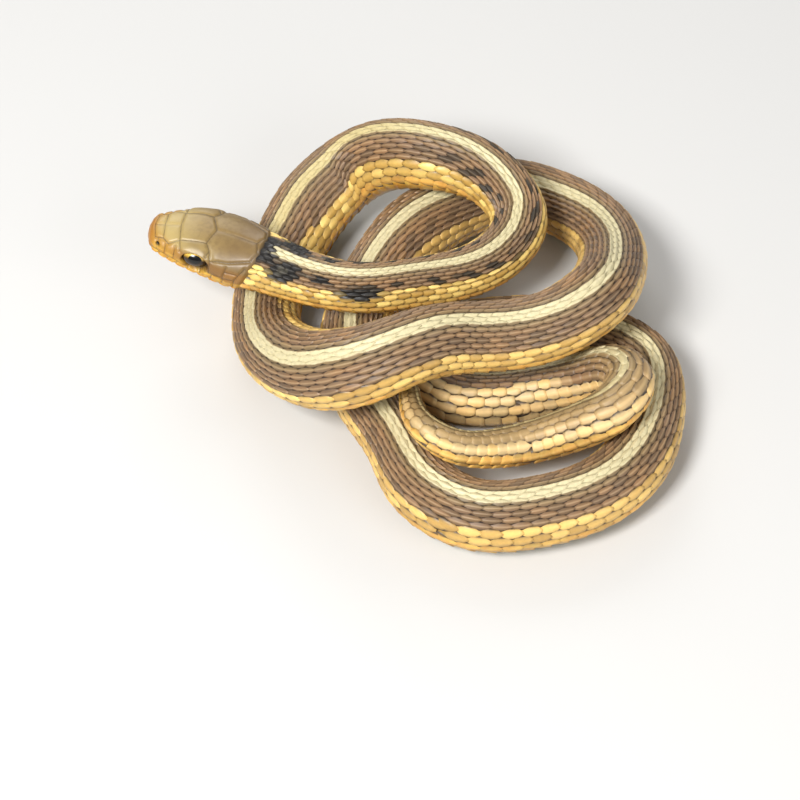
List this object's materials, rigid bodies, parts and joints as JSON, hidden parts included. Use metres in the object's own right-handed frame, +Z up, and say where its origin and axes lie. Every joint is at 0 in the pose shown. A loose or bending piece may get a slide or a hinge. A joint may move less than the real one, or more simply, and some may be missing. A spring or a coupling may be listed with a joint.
{
  "type": "garter snake model",
  "caption": "Still, life-size garter snake lying in overlapping coils with its head raised over them, striped along the back and flanks.",
  "frame": {"origin": "centre of the bounding box on the floor that the coils rest on", "axes": "+Z up from the floor, the head points to -X, and -Y is the side from which the head and the front coils are seen"},
  "size_m": [0.1089, 0.1011, 0.0342],
  "materials": {
    "head_shields": "smooth olive-tan shields with yellow lips, softly glossy",
    "eye": "wet, dark, round pupil in a golden-brown iris",
    "body_scales": "keeled brown scales with a pale stripe along the back and yellow flanks",
    "tail_scales": "keeled tan scales with a cream row along the flank"
  },
  "bodies": {
    "root": {"head": "head_shields", "eye_left": "eye", "eye_right": "eye", "neck": "body_scales", "coil_high_right": "body_scales", "coil_high_back": "body_scales", "coil_high_left": "body_scales", "coil_middle_left": "body_scales", "coil_middle_front_left": "body_scales", "coil_middle_front_right": "body_scales", "coil_middle_right": "body_scales", "coil_middle_back": "body_scales", "coil_low_inner": "body_scales", "coil_low_left": "body_scales", "coil_low_front": "body_scales", "coil_low_corner": "body_scales", "coil_low_right": "body_scales", "coil_low_under": "body_scales", "tail_base": "tail_scales", "tail_turn": "tail_scales", "tail_near": "tail_scales", "tail_tip": "tail_scales"}
  },
  "joints": []
}
